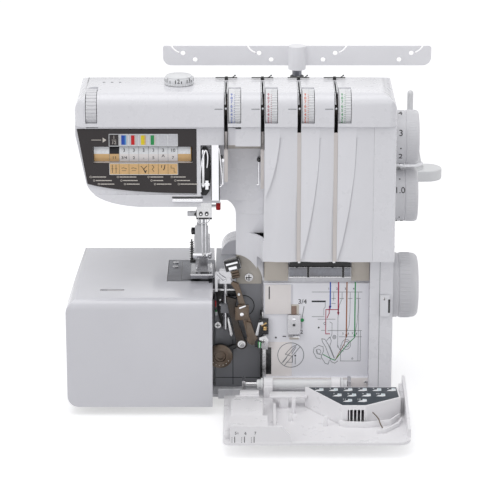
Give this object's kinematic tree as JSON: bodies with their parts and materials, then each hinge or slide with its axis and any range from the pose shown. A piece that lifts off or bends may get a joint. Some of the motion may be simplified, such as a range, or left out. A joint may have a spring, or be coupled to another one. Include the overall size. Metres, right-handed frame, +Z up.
{
  "type": "serger overlock machine",
  "caption": "Domestic overlock sewing machine with a fold-down looper cover, slide-off extension table and telescopic thread guide.",
  "frame": {"origin": "on the table at the centre of the middle foot, in the main shaft's vertical plane", "axes": "+Z up, +Y to the machine's back, +X to the handwheel side"},
  "size_m": [0.342, 0.32, 0.2982],
  "materials": {
    "white_plastic": "semi-gloss moulded ABS",
    "grey_plastic": "satin moulded ABS",
    "dark_panel": "gloss printed panel",
    "black_plastic": "matte",
    "bulkhead_grey": "satin",
    "chart_print": "printed label",
    "chrome": "polished",
    "steel": "brushed",
    "brown_steel": "oiled",
    "casting": "cast",
    "bronze": "sintered",
    "rubber": "matte",
    "lens": "diffuse",
    "tan_print": "printed drum",
    "ribbed_white": "satin moulded"
  },
  "bodies": {
    "root": {"base_pan": "white_plastic", "rubber_feet": "rubber", "machine_frame": "casting", "free_arm": "grey_plastic", "rear_cover": "white_plastic", "ribbed_cover": "ribbed_white", "face_cover": "white_plastic", "top_cover": "white_plastic", "display_panel": "dark_panel", "looper_bulkhead": "bulkhead_grey", "chart_panel": "chart_print", "needle_plate": "steel", "lower_knife": "steel", "looper_thread_guides": "steel", "top_thread_guides": "black_plastic", "tension_discs": "chrome", "face_thread_guides": "chrome", "spool_tray": "white_plastic", "spool_pins": "white_plastic", "cone_holders": "white_plastic", "mast_tube": "steel", "motor": "casting", "drive_belts": "rubber", "shaft_bushes": "bronze", "power_inlet": "black_plastic", "hinge_rod": "brown_steel", "cover_screws": "chrome", "sewing_lamp": "lens"},
    "shaft": {"main_shaft": "steel", "handwheel": "grey_plastic"},
    "rotor": {"motor_pulley": "steel"},
    "needle_drive": {"needle_bar": "chrome", "needle_clamp": "steel", "needles": "chrome"},
    "upper_looper": {"upper_looper": "brown_steel"},
    "lower_looper": {"lower_looper": "brown_steel"},
    "upper_knife": {"upper_knife": "steel"},
    "feed": {"feed_dogs": "steel"},
    "take_up": {"take_up_lever": "chrome"},
    "presser": {"presser_bar": "chrome", "presser_foot": "chrome"},
    "lifter": {"presser_lifter": "grey_plastic"},
    "tension_dial_1": {"tension_dial_1": "grey_plastic"},
    "tension_dial_2": {"tension_dial_2": "grey_plastic"},
    "tension_dial_3": {"tension_dial_3": "grey_plastic"},
    "tension_dial_4": {"tension_dial_4": "grey_plastic"},
    "stitch_length_dial": {"stitch_length_dial": "grey_plastic"},
    "differential_dial": {"differential_dial": "grey_plastic"},
    "pressure_knob": {"pressure_knob": "white_plastic"},
    "program_wheel": {"program_wheel": "grey_plastic"},
    "program_drum": {"program_drum": "tan_print"},
    "carriage": {"hinge_carriage": "brown_steel"},
    "looper_cover": {"looper_cover": "white_plastic", "cover_shelf": "white_plastic"},
    "extension_table": {"extension_table": "white_plastic"},
    "mast_middle": {"mast_middle": "steel"},
    "mast_top": {"thread_guide_top": "white_plastic"},
    "stitch_selector": {"stitch_selector": "chrome"},
    "power_switch": {"power_switch": "grey_plastic"},
    "cutting_width_dial": {"cutting_width_dial": "black_plastic"}
  },
  "joints": [
    {"name": "handwheel_spin", "type": "hinge", "parent": "root", "child": "shaft", "pos_m": [0.13, 0, 0.095], "axis": [1, 0, 0], "continuous": true},
    {"name": "motor_spin", "type": "hinge", "parent": "root", "child": "rotor", "pos_m": [0.09, 0.04, 0.048], "axis": [1, 0, 0], "continuous": true},
    {"name": "needle_bar_slide", "type": "slide", "parent": "root", "child": "needle_drive", "axis": [0, 0, 1], "range_m": [-0.026, 0]},
    {"name": "upper_looper_swing", "type": "hinge", "parent": "root", "child": "upper_looper", "pos_m": [0.002, -0.052, 0.062], "axis": [0, -1, 0], "range_deg": [0, 14]},
    {"name": "lower_looper_swing", "type": "hinge", "parent": "root", "child": "lower_looper", "pos_m": [-0.0075, -0.048, 0.056], "axis": [0, -1, 0], "range_deg": [0, 14]},
    {"name": "upper_knife_slide", "type": "slide", "parent": "root", "child": "upper_knife", "axis": [0, 0, 1], "range_m": [-0.008, 0]},
    {"name": "feed_slide", "type": "slide", "parent": "root", "child": "feed", "axis": [0, 1, 0], "range_m": [0, 0.003]},
    {"name": "take_up_swing", "type": "hinge", "parent": "root", "child": "take_up", "pos_m": [-0.04, -0.0574, 0.2065], "axis": [1, 0, 0], "range_deg": [0, 10]},
    {"name": "presser_lift", "type": "slide", "parent": "root", "child": "presser", "axis": [0, 0, 1], "range_m": [0, 0.006]},
    {"name": "lifter_swing", "type": "hinge", "parent": "root", "child": "lifter", "pos_m": [-0.043, 0.05, 0.1985], "axis": [1, 0, 0], "range_deg": [0, 35]},
    {"name": "tension_1_turn", "type": "hinge", "parent": "root", "child": "tension_dial_1", "pos_m": [-0.0131, -0.0585, 0.2755], "axis": [1, 0, 0], "range_deg": [-90, 210]},
    {"name": "tension_2_turn", "type": "hinge", "parent": "root", "child": "tension_dial_2", "pos_m": [0.0183, -0.0585, 0.2755], "axis": [1, 0, 0], "range_deg": [-90, 210]},
    {"name": "tension_3_turn", "type": "hinge", "parent": "root", "child": "tension_dial_3", "pos_m": [0.0497, -0.0585, 0.2755], "axis": [1, 0, 0], "range_deg": [-90, 210]},
    {"name": "tension_4_turn", "type": "hinge", "parent": "root", "child": "tension_dial_4", "pos_m": [0.0811, -0.0585, 0.2755], "axis": [1, 0, 0], "range_deg": [-90, 210]},
    {"name": "stitch_length_turn", "type": "hinge", "parent": "root", "child": "stitch_length_dial", "pos_m": [0.137, -0.005, 0.2346], "axis": [1, 0, 0], "range_deg": [-180, 90]},
    {"name": "differential_turn", "type": "hinge", "parent": "root", "child": "differential_dial", "pos_m": [0.137, -0.005, 0.182], "axis": [1, 0, 0], "range_deg": [-60, 150]},
    {"name": "pressure_turn", "type": "hinge", "parent": "root", "child": "pressure_knob", "pos_m": [-0.0615, -0.035, 0.294], "axis": [0, 0, 1], "range_deg": [-150, 150]},
    {"name": "program_drum_spin", "type": "hinge", "parent": "root", "child": "program_drum", "pos_m": [-0.09, -0.0525, 0.2353], "axis": [1, 0, 0], "continuous": true},
    {"name": "program_wheel_spin", "type": "hinge", "parent": "root", "child": "program_wheel", "pos_m": [-0.1355, -0.0585, 0.2755], "axis": [1, 0, 0], "continuous": true},
    {"name": "cover_slide", "type": "slide", "parent": "root", "child": "carriage", "axis": [1, 0, 0], "range_m": [-0.0095, 0]},
    {"name": "cover_hinge", "type": "hinge", "parent": "carriage", "child": "looper_cover", "pos_m": [0.04, -0.066, 0.0245], "axis": [-1, 0, 0], "range_deg": [0, 90]},
    {"name": "table_slide", "type": "slide", "parent": "root", "child": "extension_table", "axis": [-1, 0, 0], "range_m": [0, 0.13]},
    {"name": "mast_middle_slide", "type": "slide", "parent": "root", "child": "mast_middle", "axis": [0, 0, 1], "range_m": [0, 0.075]},
    {"name": "mast_top_slide", "type": "slide", "parent": "mast_middle", "child": "mast_top", "axis": [0, 0, 1], "range_m": [0, 0.075]},
    {"name": "stitch_selector_slide", "type": "slide", "parent": "root", "child": "stitch_selector", "axis": [0, 0, 1], "range_m": [-0.008, 0]},
    {"name": "power_switch_rock", "type": "hinge", "parent": "root", "child": "power_switch", "pos_m": [0.1225, -0.02, 0.135], "axis": [0, 1, 0], "range_deg": [-12, 12]},
    {"name": "cutting_width_turn", "type": "hinge", "parent": "root", "child": "cutting_width_dial", "pos_m": [-0.0266, -0.042, 0.043], "axis": [0, -1, 0], "range_deg": [0, 60]}
  ],
  "couplings": [
    {"joint": "motor_spin", "follows": "handwheel_spin", "ratio": 3},
    {"joint": "upper_looper_swing", "follows": "needle_bar_slide", "rad_per_m": -9.3},
    {"joint": "lower_looper_swing", "follows": "needle_bar_slide", "rad_per_m": -9.3},
    {"joint": "upper_knife_slide", "follows": "needle_bar_slide", "ratio": 0.3},
    {"joint": "feed_slide", "follows": "needle_bar_slide", "ratio": -0.11},
    {"joint": "take_up_swing", "follows": "needle_bar_slide", "rad_per_m": -6.6},
    {"joint": "lifter_swing", "follows": "presser_lift", "rad_per_m": 100},
    {"joint": "program_wheel_spin", "follows": "program_drum_spin", "ratio": 1}
  ]
}
